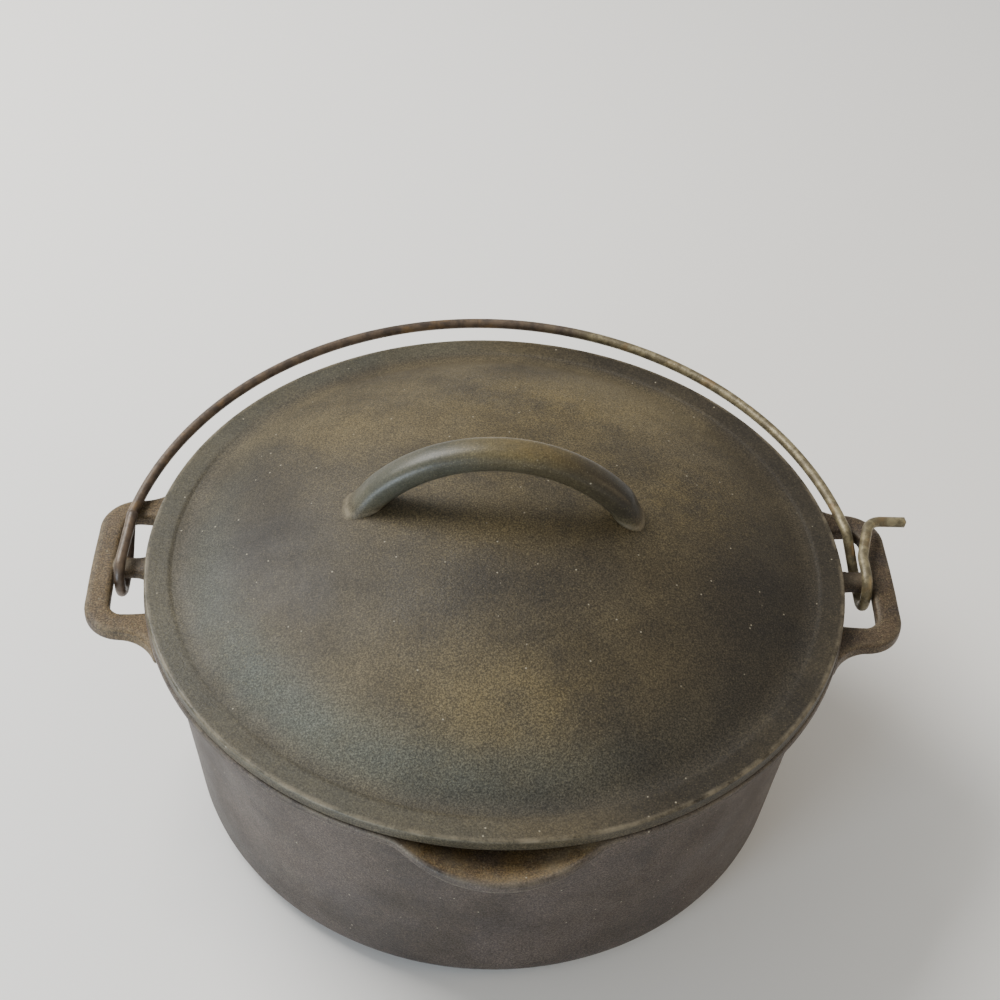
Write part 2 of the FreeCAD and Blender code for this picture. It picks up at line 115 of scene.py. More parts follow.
MM = 0.001
pot_low, pot_high = (np.array(corner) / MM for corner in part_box("pot"))
RIM_TOP = pot_high[2]
RIM_RADIUS = pot_high[1]
LIP_REACH = -pot_low[1]
EAR_REACH = pot_high[0]
RIM_LAP = 4.6
TAPER = 11.7
WALL = 4.0
BOTTOM = 4.6
FOOT_ROUND = 13.3
WELL_ROUND = 12
BAND_LOW = RIM_TOP - 3.2
BAND_FOOT = BAND_LOW - 4.5
LIP_RADIUS = 47.3
LIP_HALF = math.radians(24)
LIP_FADE = math.radians(6)
LIP_EASE = 2.2
LIP_TOP = RIM_TOP - 3.3
LIP_EDGE = 4.0
LIP_FOOT = RIM_TOP - 24
CHANNEL_LOW = RIM_TOP - 6.2
POT_WAVES = 0.5
# the radius of the smallest ring of points, which a fan of faces closes
AXIS = 0.4

WALL_TOP = RIM_RADIUS - RIM_LAP
FOOT_RADIUS = WALL_TOP - TAPER


def wall_radius(height):
    """The tapered wall's outer radius: it grows evenly from the foot's at the floor to the rim's."""
    return FOOT_RADIUS + (WALL_TOP - FOOT_RADIUS) / RIM_TOP * height


def rounded_run(corners, steps=10, arc_steps=8):
    """Points along straight runs whose corners are rounded. A corner is its coordinates and then its
    radius; each run has the same number of steps, and so has each arc. On a corner, the points are those
    of a circle of that radius that touches both runs."""
    spots = [np.array(corner[:-1], float) for corner in corners]
    bends = [corner[-1] for corner in corners[1:-1]]
    pieces = []
    last = spots[0]
    for before, corner, after, bend in zip(spots, spots[1:], spots[2:], bends):
        into = (corner - before) / np.linalg.norm(corner - before)
        out = (after - corner) / np.linalg.norm(after - corner)
        turn = math.acos(np.clip(into @ out, -1, 1))
        setback = bend * math.tan(turn / 2)
        start = corner - into * setback
        aside = out - into * (into @ out)
        aside /= np.linalg.norm(aside)
        way = np.linspace(0, 1, steps, endpoint=False)[:, None]
        pieces.append(last + (start - last) * way)
        angle = np.linspace(0, turn, arc_steps, endpoint=False)[:, None]
        pieces.append(start + bend * np.sin(angle) * into + bend * (1 - np.cos(angle)) * aside)
        last = corner + out * setback
    way = np.linspace(0, 1, steps)[:, None]
    pieces.append(last + (spots[-1] - last) * way)
    return np.concatenate(pieces)


def turned_rings(profiles, angles):
    """Rings about the upright axis: profiles is (step, angle, 2) with radius and height, and each point
    stands at radius times the cosine and sine of its angle."""
    radius, height = profiles[..., 0], profiles[..., 1]
    return np.stack([radius * np.cos(angles), radius * np.sin(angles), height], axis=-1)


def cast_waves(rings, height):
    """How deep a sand casting's slow unevenness is, from 0 to a height in millimetres: half that height,
    and a sixth of it times each of three sine waves across the piece."""
    x, y, z = rings[..., 0], rings[..., 1], rings[..., 2]
    waves = np.sin(x / 19 + z / 31) + np.sin(y / 23 - z / 17 + 1.7) + np.sin((x + y) / 37 + 4.1)
    return height * (0.5 + waves / 6)


def skin(rings):
    """Points and faces of a closed skin over a stack of rings, given as (ring, place, xyz): a band of
    four-sided faces between neighbouring rings, and a fan from each end ring to its middle point. Where
    the volume inside comes out negative, the faces are turned over."""
    count, around, _ = rings.shape
    points = np.concatenate([rings.reshape(-1, 3), rings[:1].mean(axis=1), rings[-1:].mean(axis=1)])
    ring, place = np.meshgrid(np.arange(count - 1), np.arange(around), indexing="ij")
    here, beside = ring * around + place, ring * around + (place + 1) % around
    bands = np.stack([here, beside, beside + around, here + around], axis=-1).reshape(-1, 4)
    place = np.arange(around)
    beside = (place + 1) % around
    first = np.stack([np.full(around, count * around), beside, place], axis=-1)
    top = (count - 1) * around
    last = np.stack([np.full(around, count * around + 1), top + place, top + beside], axis=-1)
    fans = np.concatenate([first, last])
    corners = points[bands[:, :3]]
    volume = np.einsum("ij,ij->i", corners[:, 0], np.cross(corners[:, 1], corners[:, 2])).sum()
    if volume < 0:
        bands, fans = bands[:, ::-1], fans[:, ::-1]
    return points, bands, fans


def add_piece(name, skins, body, slot_name, nodes, material, **marks):
    """One smooth object in metres from skins in millimetres, riding on a body. Each mark is a number for
    every point, kept as an attribute of that name."""
    points, faces, start = [], [], 0
    for spots, bands, fans in skins:
        faces += (bands + start).tolist() + (fans + start).tolist()
        points.append(spots)
        start += len(spots)
    mesh = bpy.data.meshes.new(name)
    mesh.from_pydata((np.concatenate(points) * MM).tolist(), [], faces)
    for mark, numbers in marks.items():
        attribute = mesh.attributes.new(mark, "FLOAT", "POINT")
        attribute.data.foreach_set("value", np.asarray(numbers, np.float32))
    mesh.shade_smooth()
    mesh.validate()
    mesh.materials.append(material)
    piece = bpy.data.objects.new(name, mesh)
    bpy.context.scene.collection.objects.link(piece)
    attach(piece, body)
    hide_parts(*nodes)
    return piece


# the wall's profile where there is no lip, and in the middle of the lip, from the axis under the bottom
# round to the axis inside the pot
plain = rounded_run([
    (AXIS, 0, 0),
    (FOOT_RADIUS, 0, FOOT_ROUND),
    (wall_radius(BAND_FOOT), BAND_FOOT, 7),
    (RIM_RADIUS, BAND_LOW, 1.4),
    (RIM_RADIUS, RIM_TOP, 1.2),
    (WALL_TOP - WALL, RIM_TOP, 1.3),
    (wall_radius(BOTTOM) - WALL, BOTTOM, WELL_ROUND),
    (AXIS, BOTTOM, 0),
], steps=14, arc_steps=9)
lipped = rounded_run([
    (AXIS, 0, 0),
    (FOOT_RADIUS, 0, FOOT_ROUND),
    (wall_radius(LIP_FOOT), LIP_FOOT, 26),
    (LIP_REACH, LIP_TOP - LIP_EDGE, 1.5),
    (LIP_REACH, LIP_TOP, 1.5),
    (WALL_TOP - WALL - 1, CHANNEL_LOW, 6),
    (wall_radius(BOTTOM) - WALL, BOTTOM, WELL_ROUND),
    (AXIS, BOTTOM, 0),
], steps=14, arc_steps=9)

# the points stand closer together round the lip than round the rest of the wall
around_lip = np.linspace(-LIP_HALF, LIP_HALF, 160, endpoint=False)
around_rest = np.linspace(LIP_HALF, 2 * math.pi - LIP_HALF, 330, endpoint=False)
angles = np.concatenate([around_lip, around_rest]) - math.pi / 2
from_lip = np.abs((angles + math.pi / 2 + math.pi) % (2 * math.pi) - math.pi)

# the lip's outline is a circle whose middle lies inside the rim, eased into the rim at both ends
lip_middle = LIP_REACH - LIP_RADIUS
inside = np.maximum(LIP_RADIUS ** 2 - (lip_middle * np.sin(from_lip)) ** 2, 0)
bulge = lip_middle * np.cos(from_lip) + np.sqrt(inside) - RIM_RADIUS
bulge = np.where(from_lip > LIP_HALF, -20, bulge)
eased = (bulge + np.sqrt(bulge ** 2 + LIP_EASE ** 2)) / 2
lip_share = eased / eased.max() * np.clip((LIP_HALF - from_lip) / LIP_FADE, 0, 1)
profiles = plain[:, None] + (lipped - plain)[:, None] * lip_share[None, :, None]
wall_rings = turned_rings(profiles, angles)

# the outside of the wall is uneven between the foot and the rim band
outward = np.stack([np.cos(angles), np.sin(angles), 0 * angles], axis=-1)
radius, height = profiles[..., 0], profiles[..., 1]
on_wall = np.clip((height - 14) / 20, 0, 1) * np.clip((RIM_TOP - 9 - height) / 10, 0, 1)
on_wall *= (np.arange(len(plain)) < len(plain) / 2)[:, None]
wall_rings = wall_rings - (cast_waves(wall_rings, POT_WAVES) * on_wall)[..., None] * outward

# bare metal shows along the rim band's two edges, and the lip's top has gone brown
below_rim = RIM_TOP - height
on_band = radius > RIM_RADIUS - 2.2
edge_top = np.exp(-((0.4 - below_rim + 3.4 * lip_share) / 0.9) ** 2) * on_band
edge_low = 0.6 * np.exp(-((3.4 - below_rim + 3.6 * lip_share) / 0.8) ** 2) * on_band
lip_brown = np.clip(lip_share * 4, 0, 1) * np.clip((9 - below_rim) / 3, 0, 1)
lip_brown *= np.clip((radius.max(axis=0) - radius - 0.8) / 1.5, 0, 1)
# the two last numbers are those of the skin's end points, which lie on the axis
wall_wear = np.append(0.35 * (edge_top + edge_low).ravel(), [0, 0])
wall_dust = np.append((0.1 + 0.9 * lip_brown).ravel(), [0, 0])


def add_node(tree, kind, inputs=(), **settings):
    """A node with its settings, and its inputs set to values or joined to other nodes' outputs."""
    node = tree.nodes.new(f"ShaderNode{kind}")
    for name, setting in settings.items():
        setattr(node, name, setting)
    for socket, source in dict(inputs).items():
        if isinstance(source, bpy.types.NodeSocket):
            tree.links.new(source, node.inputs[socket])
        else:
            node.inputs[socket].default_value = source
    return node


def noise(tree, place, scale, detail, roughness):
    """The value of a noise pattern, about 0 to 1."""
    inputs = {"Vector": place, "Scale": scale, "Detail": detail, "Roughness": roughness}
    return add_node(tree, "TexNoise", inputs).outputs["Fac"]


def spread(tree, source, low, high, to_low=0.0, to_high=1.0):
    """Maps low..high of a value smoothly to another range."""
    inputs = {"Value": source, "From Min": low, "From Max": high, "To Min": to_low, "To Max": to_high}
    return add_node(tree, "MapRange", inputs, interpolation_type="SMOOTHSTEP").outputs["Result"]


def product(tree, first, second):
    """One value times another."""
    return add_node(tree, "Math", {0: first, 1: second}, operation="MULTIPLY").outputs[0]


def product_and_sum(tree, first, second, third):
    """One value times another, and a third added to that."""
    return add_node(tree, "Math", {0: first, 1: second, 2: third}, operation="MULTIPLY_ADD").outputs[0]


def difference(tree, first, second):
    """One value less another."""
    return add_node(tree, "Math", {0: first, 1: second}, operation="SUBTRACT").outputs[0]


def blend_colours(tree, share, first, second):
    """The first colour with a share of the second laid over it."""
    node = add_node(tree, "Mix", {"Factor": share}, data_type="RGBA")
    for socket, colour in ((node.inputs[6], first), (node.inputs[7], second)):
        if isinstance(colour, bpy.types.NodeSocket):
            tree.links.new(colour, socket)
        else:
            socket.default_value = (*colour, 1)
    return node.outputs[2]


def bump(tree, height, strength, depth, under=None):
    """A surface normal raised by a height pattern, by so much of a depth in metres, over another one."""
    inputs = {"Height": height, "Strength": strength, "Distance": depth}
    if under:
        inputs["Normal"] = under
    return add_node(tree, "Bump", inputs).outputs[0]


def scour_rings(tree, place):
    """Fine scour marks in rings about the upright axis: a noise over the distance from that axis, which
    runs on for a long way round it."""
    split = add_node(tree, "SeparateXYZ", {"Vector": place}).outputs
    turn = add_node(tree, "Math", {0: split[1], 1: split[0]}, operation="ARCTAN2").outputs[0]
    level = add_node(tree, "CombineXYZ", {"X": split[0], "Y": split[1]}).outputs[0]
    out = add_node(tree, "VectorMath", {0: level}, operation="LENGTH").outputs["Value"]
    wound = add_node(tree, "CombineXYZ", {"X": product(tree, turn, 0.012), "Y": out}).outputs[0]
    return noise(tree, wound, SCOUR_SCALE, 4, 0.65)


def cover(tree, place, ground, mark, clouds, colour):
    """A ground with a colour laid over it where a mark is high, broken up by clouds. The clouds are given
    by the scale, detail and roughness of their noise, the noise values between which they go from thin to
    full, and how much they cover where they are thin."""
    scale, detail, roughness, low, high, least = clouds
    cloudy = spread(tree, noise(tree, place, scale, detail, roughness), low, high, least, 1.0)
    return blend_colours(tree, product(tree, mark, cloudy), ground, colour)


GRAIN_SCALE, GRAIN_DEPTH = 1500, 0.00025
PEBBLE_SCALE, PEBBLE_DEPTH = 700, 0.0004
SCOUR_SCALE, SCOUR_DEPTH = 620, 0.0002
IRON_SPECULAR = 0.32
# near black for baked oil, and for the painted shade laid on the lid's right
OIL_AND_SHADE_BLACK = (0.014, 0.012, 0.011)
# a painted sheen: the bluish green of the cool window's reflection, painted into the colour
PAINTED_SHEEN_TINT = (0.074, 0.090, 0.080)
RUBBED_IRON = (0.22, 0.185, 0.125)
GOLDEN_GRAIN = (0.23, 0.195, 0.10)
PALE_SPECK = (0.40, 0.36, 0.27)


def seasoned_iron(name, dark, light, brown, dullness, streaks=0.0):
    """Cast iron under baked oil: a dark ground clouded with a lighter one and a fine sandy grain. The
    marks on the mesh change it. Dust makes it brown and full of golden grains, and oil nearly black; on
    the lid the oil mark's black also stands for painted shade. Another mark lays a painted bluish green
    sheen on it, the cool window's reflection painted into the colour. Wear rubs it pale, and polish is
    where hands have worn it smooth. The streaks are rings of fine scour marks."""
    material, tree, shader = new_material(name)
    place = add_node(tree, "TexCoord").outputs["Object"]
    dust, oil, haze, wear, polish = [add_node(tree, "Attribute", attribute_name=mark).outputs["Fac"]
                                     for mark in ("dust", "oil", "haze", "wear", "polish")]
    cloud = spread(tree, noise(tree, place, 13, 6, 0.66), 0.36, 0.64)
    ground = blend_colours(tree, cloud, dark, light)
    ground = cover(tree, place, ground, dust, (34, 7, 0.72, 0.30, 0.62, 0.0), brown)
    # the oil mark's near black, which on the lid also paints the shade of the dome's right
    ground = cover(tree, place, ground, oil, (22, 5, 0.60, 0.20, 0.60, 0.55), OIL_AND_SHADE_BLACK)
    # painted sheen: a bluish green reflection of the cool window, laid into the colour
    ground = cover(tree, place, ground, haze, (40, 4, 0.60, 0.20, 0.60, 0.50), PAINTED_SHEEN_TINT)

    # hands have worn the grain down to four tenths of its depth where the polish mark is full
    kept = product_and_sum(tree, polish, -0.60, 1.0)
    sand = difference(tree, noise(tree, place, GRAIN_SCALE, 4, 0.75), 0.5)
    grain = product_and_sum(tree, sand, kept, 0.5)
    shade = spread(tree, grain, 0.36, 0.74, 0.48, 2.2)
    ground = add_node(tree, "VectorMath", {0: ground, "Scale": shade}, operation="SCALE").outputs[0]

    # fine golden grains, and a few larger pale specks, are round dots in some cells of a cell pattern
    golden_share = spread(tree, dust, 0, 0.7, 0.12, 0.55)
    for cells_per_metre, size, chance, share, colour in (
            (1000.0, 0.36, 0.45, golden_share, GOLDEN_GRAIN),
            (210.0, 0.10, 0.66, 0.8, PALE_SPECK)):
        cells = add_node(tree, "TexVoronoi", {"Vector": place, "Scale": cells_per_metre}).outputs
        pick = add_node(tree, "SeparateColor", {"Color": cells["Color"]}).outputs[0]
        dots = product(tree, spread(tree, cells["Distance"], size, size / 3),
                       spread(tree, pick, chance, chance + 0.1))
        ground = blend_colours(tree, product(tree, dots, share), ground, colour)
    ground = cover(tree, place, ground, wear, (90, 5, 0.70, 0.35, 0.65, 0.0), RUBBED_IRON)
    tree.links.new(ground, shader.inputs["Base Color"])

    dull = spread(tree, noise(tree, place, 30, 5, 0.65), 0.3, 0.7, dullness - 0.06, dullness + 0.08)
    tree.links.new(product_and_sum(tree, polish, -0.17, dull), shader.inputs["Roughness"])
    shader.inputs["Specular IOR Level"].default_value = IRON_SPECULAR
    pebbles = product(tree, noise(tree, place, PEBBLE_SCALE, 4, 0.65), kept)
    surface = bump(tree, grain, 0.5, GRAIN_DEPTH, under=bump(tree, pebbles, 0.4, PEBBLE_DEPTH))
    if streaks:
        surface = bump(tree, scour_rings(tree, place), streaks, SCOUR_DEPTH, under=surface)
    tree.links.new(surface, shader.inputs["Normal"])
    return material


pot_iron = seasoned_iron("pot_iron", dark=(0.027, 0.021, 0.019), light=(0.068, 0.053, 0.046),
                         brown=(0.112, 0.074, 0.031), dullness=0.52)
add_piece("pot_wall", [skin(wall_rings)], "pot", "pot_iron", ["pot"], pot_iron, wear=wall_wear,
          dust=wall_dust)

# --- The ears ---------------------------------------------------------------------------------------
# A flat loop cast on each side of the pot, about 6 mm thick, that sweeps out of the wall. A round-edged
# bar crosses the middle of its window, and the bail hooks on it.

EAR_TOP = RIM_TOP - 2.5
EAR_THICKNESS = 6.0
EAR_LEVEL = EAR_TOP - EAR_THICKNESS / 2
EAR_HALF = 36.5
EAR_BEND = 10.0
ARM_WIDTH = 10.0
ARM_FLARE = 16
BAND_WIDTH = 9.3
BAND_BOW = 0.9
BAR_WIDTH = 9.4
BAR_THICKNESS = 5.0
BAR_HEIGHT = EAR_TOP - 0.4 - BAR_THICKNESS / 2


def round_edged(count, power):
    """A section between a rectangle and an ellipse that fills -1..1 both ways: on it, the two distances
    from the middle, each raised to the power, add up to one."""
    angle = np.linspace(0, 2 * math.pi, count, endpoint=False)
    across, up = np.cos(angle), np.sin(angle)
    size = (np.abs(across) ** power + np.abs(up) ** power) ** (-1 / power)
    return across * size, up * size


def swept(path, widths, heights, side, up, power, around=32):
    """Rings of a section carried along a path: each ring spans its width to both sides and its height up
    and down from the path's point."""
    across, rise = round_edged(around, power)
    return (path[:, None] + side[:, None] * (widths[:, None] * across)[..., None]
            + up[:, None] * (heights[:, None] * rise)[..., None])


def sides_of(path, up):
    """For each point of a path, the direction level with it and square to it."""
    along = np.gradient(path, axis=0)
    along /= np.linalg.norm(along, axis=1)[:, None]
    side = np.cross(up, along)
    return side / np.linalg.norm(side, axis=1)[:, None]


# the middle line of the right ear's loop: out along the front arm, back along the band and in again
band_x = EAR_REACH - BAND_WIDTH / 2
arm_y = EAR_HALF - ARM_WIDTH / 2
route = rounded_run([
    (RIM_RADIUS - 13, -arm_y, EAR_LEVEL, 0),
    (band_x, -arm_y, EAR_LEVEL, EAR_BEND),
    (band_x, arm_y, EAR_LEVEL, EAR_BEND),
    (RIM_RADIUS - 13, arm_y, EAR_LEVEL, 0),
], steps=26, arc_steps=12)
route[:, 0] -= BAND_BOW * (route[:, 1] / arm_y) ** 2 * np.clip((route[:, 0] - band_x + 18) / 18, 0, 1)
up = np.tile([0.0, 0.0, 1.0], (len(route), 1))
side = sides_of(route, up)

# an arm's outer edge runs into the rim on part of a quarter circle, and its inner edge less so
reach = np.clip((RIM_RADIUS + 7 - route[:, 0]) / ARM_FLARE, 0, 0.94)
outer = ARM_FLARE * (1 - np.sqrt(1 - reach ** 2))
inner = 2.5 * reach ** 2
swell = 0.06 * outer
widths = np.interp(np.abs(route[:, 1]), [16, 30], [BAND_WIDTH / 2, ARM_WIDTH / 2]) + (outer + inner) / 2
route[:, 1] += np.sign(route[:, 1]) * (outer - inner) / 2
route[:, 2] -= swell
loop = swept(route, widths, EAR_THICKNESS / 2 + swell, side, up, power=5.0)
# the arms end inside the wall
inside_wall = np.sqrt(np.maximum((WALL_TOP - 2.9) ** 2 - loop[..., 1] ** 2, 0))
loop[..., 0] = np.maximum(loop[..., 0], inside_wall)

# the bar spreads a little where it runs into the wall and into the band
bar_x = np.linspace(RIM_RADIUS - 7, band_x, 24)
bar_route = np.stack([bar_x, 0 * bar_x, 0 * bar_x + BAR_HEIGHT], axis=-1)
near_wall = np.exp(-((bar_x - RIM_RADIUS) / 2.2) ** 2)
near_band = np.exp(-((bar_x - EAR_REACH + BAND_WIDTH) / 2.0) ** 2)
bar = swept(bar_route, BAR_WIDTH / 2 + 0.9 * (near_wall + near_band),
            BAR_THICKNESS / 2 + 0.2 * (near_wall + near_band),
            np.tile([0.0, 1.0, 0.0], (len(bar_x), 1)), up[:len(bar_x)], power=2.6)

# both ears are alike, and their edges are rubbed
ear_skins = [skin(rings * (direction, 1, 1)) for direction in (1, -1) for rings in (loop, bar)]
ear_points = np.concatenate([spots for spots, _, _ in ear_skins])
from_level = np.abs(ear_points[:, 2] - EAR_LEVEL) / (EAR_THICKNESS / 2)
ear_wear = 0.5 * np.clip((from_level - 0.72) / 0.2, 0, 1) * np.clip((0.99 - from_level) / 0.06, 0, 1)
ear_dust = np.where(ear_points[:, 0] < 0, 0.8, 0.45)
add_piece("ears", ear_skins, "pot", "pot_iron", ["pot"], pot_iron, wear=ear_wear, dust=ear_dust)

# --- The lid ----------------------------------------------------------------------------------------
# One iron casting: a dome inside a flat edge that rests on the rim, an arched handle on top, and a ring
# underneath that keeps it from sliding off. It is smoother than the pot and olive from baked oil.

LID_RADIUS = RIM_RADIUS - 0.5
LID_TOP = RIM_TOP + 5.3
LID_TURN = math.radians(-2.1)
LID_WAVES = 0.8
LID_PLACES = 400
DOME_HEIGHT = 30.5
DOME_FOOT = LID_RADIUS - 14.5
DOME_WALL = 4.2
SWEEP = 20.0
RING_RADIUS = WALL_TOP - WALL - 1.8
RING_BORE = RING_RADIUS - 4.0
RING_LOW = RIM_TOP - 5
GRIP_RADIUS = 60.8
GRIP_MIDDLE = LID_TOP + DOME_HEIGHT + 23.2 - GRIP_RADIUS
GRIP_WIDTH = 13.0
GRIP_THICKNESS = 11.0
GRIP_HALF = math.radians(49)
GRIP_STEPS = 70
STUD_PITCH = 29.0
STUD_DROP = 2.4
STUD_PLACES = 16
# the dome's outer ball passes through its foot and its crown
BALL = (DOME_FOOT ** 2 + DOME_HEIGHT ** 2) / (2 * DOME_HEIGHT)
BALL_MIDDLE = LID_TOP + DOME_HEIGHT - BALL
INNER_BALL = BALL - DOME_WALL


def ball_top(distance, radius=BALL):
    """Height, at a distance from the axis, of a ball of this radius about the dome's middle: the middle's
    height and the root of the radius squared less the distance squared."""
    return BALL_MIDDLE + np.sqrt(radius ** 2 - distance ** 2)


# the profile: over the dome, down the hollow sweep that touches it, round the flat edge and the ring,
# and back under the dome
sweep_x = math.sqrt((BALL + SWEEP) ** 2 - (LID_TOP + SWEEP - BALL_MIDDLE) ** 2)
touch = sweep_x * BALL / (BALL + SWEEP)
dome_r = np.linspace(AXIS, touch, 60, endpoint=False)
dome = np.stack([dome_r, ball_top(dome_r)], axis=-1)
sweep_angle = np.linspace(math.asin((sweep_x - touch) / SWEEP), 0, 14, endpoint=False)
sweep_r = sweep_x - SWEEP * np.sin(sweep_angle)
hollow = np.stack([sweep_r, LID_TOP + SWEEP - SWEEP * np.cos(sweep_angle)], axis=-1)
edge = rounded_run([
    (sweep_x, LID_TOP, 0),
    (LID_RADIUS, LID_TOP, 1.0),
    (LID_RADIUS, RIM_TOP, 1.2),
    (RING_RADIUS, RIM_TOP, 0.8),
    (RING_RADIUS, RING_LOW, 1.0),
    (RING_BORE, RING_LOW, 1.0),
    (RING_BORE, ball_top(RING_BORE, INNER_BALL), 0),
], steps=8, arc_steps=7)
under_r = np.linspace(RING_BORE, AXIS, 50)[1:]
under = np.stack([under_r, ball_top(under_r, INNER_BALL)], axis=-1)
lid_profile = np.concatenate([dome, hollow, edge, under])
lid_angles = np.linspace(0, 2 * math.pi, LID_PLACES, endpoint=False)
lid_rings = turned_rings(np.repeat(lid_profile[:, None], LID_PLACES, axis=1), lid_angles)
lid_r, lid_z = lid_profile.T
upper = np.arange(len(lid_profile)) < len(dome) + len(hollow)
uneven = upper * np.clip((LID_RADIUS - 4 - lid_r) / 12, 0, 1) * np.clip(lid_r / 30, 0, 1)
lid_rings[..., 2] -= cast_waves(lid_rings, LID_WAVES) * uneven[:, None]

# the handle: an arch cast on the dome, whose feet spread into it
lean = np.linspace(-GRIP_HALF, GRIP_HALF, GRIP_STEPS)
arch_up = np.stack([np.sin(lean), 0 * lean, np.cos(lean)], axis=-1)
arch = np.array([0, 0, GRIP_MIDDLE]) + GRIP_RADIUS * arch_up
arch_rings = swept(arch, np.full(GRIP_STEPS, GRIP_WIDTH / 2), np.full(GRIP_STEPS, GRIP_THICKNESS / 2),
                   np.tile([0.0, 1.0, 0.0], (GRIP_STEPS, 1)), arch_up, power=2.5, around=40)


def foot_rings(ring, heading, length, swell, count=18):
    """Rings that carry a handle's end ring down its heading and spread it on the dome: a ring's size
    grows by the swell times one less a quarter circle's height, and its height turns, with the square of
    its share of the way, into that of the dome's skin."""
    share = np.linspace(0, 1, count + 1)[1:, None, None]
    centre = ring.mean(axis=0)
    wider = 1 + swell * (1 - np.sqrt(1 - share ** 2))
    spots = centre + (ring - centre) * wider + heading * length * share
    skin_height = ball_top(np.hypot(spots[..., 0], spots[..., 1])) - 1.2
    spots[..., 2] += (skin_height - spots[..., 2]) * share[..., 0] ** 2
    return spots


left_heading = np.array([-math.cos(GRIP_HALF), 0, -math.sin(GRIP_HALF)])
left_foot = foot_rings(arch_rings[0], left_heading, length=14.0, swell=0.55)
right_foot = foot_rings(arch_rings[-1], left_heading * (-1, 1, 1), length=8.0, swell=0.40)
grip_rings = np.concatenate([left_foot[::-1], arch_rings, right_foot])

# rings of studs under the dome, where steam gathers and drips
stud_skins = []
stud_angles = np.linspace(0, 2 * math.pi, STUD_PLACES, endpoint=False)
for ring_number in (1, 2, 3):
    distance = STUD_PITCH * ring_number
    foot = ball_top(distance, INNER_BALL)
    stud = rounded_run([(0.2, foot - STUD_DROP, 0), (2.1, foot - 2.3, 0.8), (2.8, foot + 1.4, 0)],
                       steps=3, arc_steps=4)
    stud_rings = turned_rings(np.repeat(stud[:, None], STUD_PLACES, axis=1), stud_angles)
    for turn in np.linspace(0, 2 * math.pi, 6 * ring_number, endpoint=False):
        stud_skins.append(skin(stud_rings + distance * np.array([math.cos(turn), math.sin(turn), 0])))

# the loose lid lies turned a little on the pot
turning = np.array([
    [math.cos(LID_TURN), math.sin(LID_TURN), 0],
    [-math.sin(LID_TURN), math.cos(LID_TURN), 0],
    [0, 0, 1],
])
lid_skins = [(spots @ turning, bands, fans)
             for spots, bands, fans in [skin(lid_rings), skin(grip_rings)] + stud_skins]
lid_points = np.concatenate([spots for spots, _, _ in lid_skins])


def patches(points, spots):
    """A mark made of soft round patches: the sum, over the patches, of its strength times the bell curve
    of the distance from its middle, measured in its own widths across and along."""
    total = np.zeros(len(points))
    for strength, x, y, wide, deep in spots:
        total += strength * np.exp(-((points[:, 0] - x) / wide) ** 2 - ((points[:, 1] - y) / deep) ** 2)
    return np.clip(total, 0, 1)


def laid_over(mark, other, share):
    """A mark with a share of another laid over it."""
    return mark + (other - mark) * share


# golden dust and black oil lie in patches, the dark patches on the dome's right being painted shade, and a
# painted bluish green sheen, the cool window's reflection, lies on the front left of the dome's foot
lid_dust = patches(lid_points, [
    (0.34, 0, 0, 95, 95),
    (0.38, 4, -90, 42, 17),
    (0.30, -95, -52, 18, 26),
    (0.45, -36, -10, 9, 7),
    (0.30, 0, -14, 20, 9),
    (0.42, 22, 74, 46, 22),
    (0.30, 80, 16, 26, 24),
    (0.32, -68, 56, 26, 20),
])
# black oil patches; those on the dome's right, at x 72 to 108, are painted shade for the side turned from
# the light
lid_oil = patches(lid_points, [
    (0.95, 108, -42, 34, 46),
    (0.60, 72, -104, 50, 26),
    (0.55, 8, -40, 52, 20),
    (0.22, 104, 36, 30, 34),
    (0.75, -94, -8, 46, 56),
    (0.80, -4, -121, 50, 12),
    (0.30, 0, 118, 90, 20),
    (0.25, -20, -30, 70, 60),
])
across, along = lid_points[:, 0], lid_points[:, 1]
from_axis = np.hypot(across, along)
flat_edge = np.clip((from_axis - 118) / 8, 0, 1)
lid_oil = np.maximum(lid_oil, 0.5 * flat_edge)
from_front_left = (np.arctan2(along, across) + math.radians(130) + math.pi) % (2 * math.pi) - math.pi
lid_haze = 0.6 * np.exp(-((from_axis - 112) / 11) ** 2 - (from_front_left / math.radians(52)) ** 2)

# the handle is polished: ochre on top, with a painted greyish sheen to the left, and darker towards its
# right end
clear_of_dome = lid_points[:, 2] - ball_top(np.minimum(from_axis, BALL / 2))
on_handle = np.clip((clear_of_dome - 1) / 5, 0, 1)
ochre = 0.2 + 0.8 * np.exp(-((across - 8) / 30) ** 2) * np.clip((clear_of_dome - 22) / 5, 0, 1)
lid_dust = laid_over(lid_dust, ochre, on_handle)
lid_haze = laid_over(lid_haze, 0.35 * np.clip((12 - across) / 30, 0, 1), on_handle)
lid_oil = laid_over(lid_oil, 0.48 - 0.45 * ochre + 0.5 * np.clip((across - 25) / 25, 0, 1), on_handle)

# the lid's upper edge is rubbed, and a pale crust has gathered round the handle's feet
rubbed_edge = 0.8 * np.exp(-((lid_z - LID_TOP + 0.3) / 0.45) ** 2) * (lid_r > LID_RADIUS - 1.2)
crust = 0.8 * np.exp(-((clear_of_dome - 0.6) / 0.9) ** 2)
shell_count = len(lid_skins[0][0])
lid_wear = np.where(np.arange(len(lid_points)) > shell_count, crust, 0.0)
lid_wear[:lid_rings[..., 0].size] += np.repeat(rubbed_edge, LID_PLACES)

lid_iron = seasoned_iron("lid_iron", dark=(0.042, 0.034, 0.021), light=(0.100, 0.081, 0.046),
                         brown=(0.150, 0.112, 0.045), dullness=0.52, streaks=0.3)
add_piece("lid_casting", lid_skins, "lid", "lid_iron", ["lid"], lid_iron, dust=lid_dust, oil=lid_oil,
          haze=lid_haze, wear=lid_wear, polish=on_handle)

# --- The bail ---------------------------------------------------------------------------------------
# One length of round steel wire, bent to a bow with a hook at each end that loops round an ear's bar.
# Its zinc has worn off and it has rusted, more on the left than on the right.

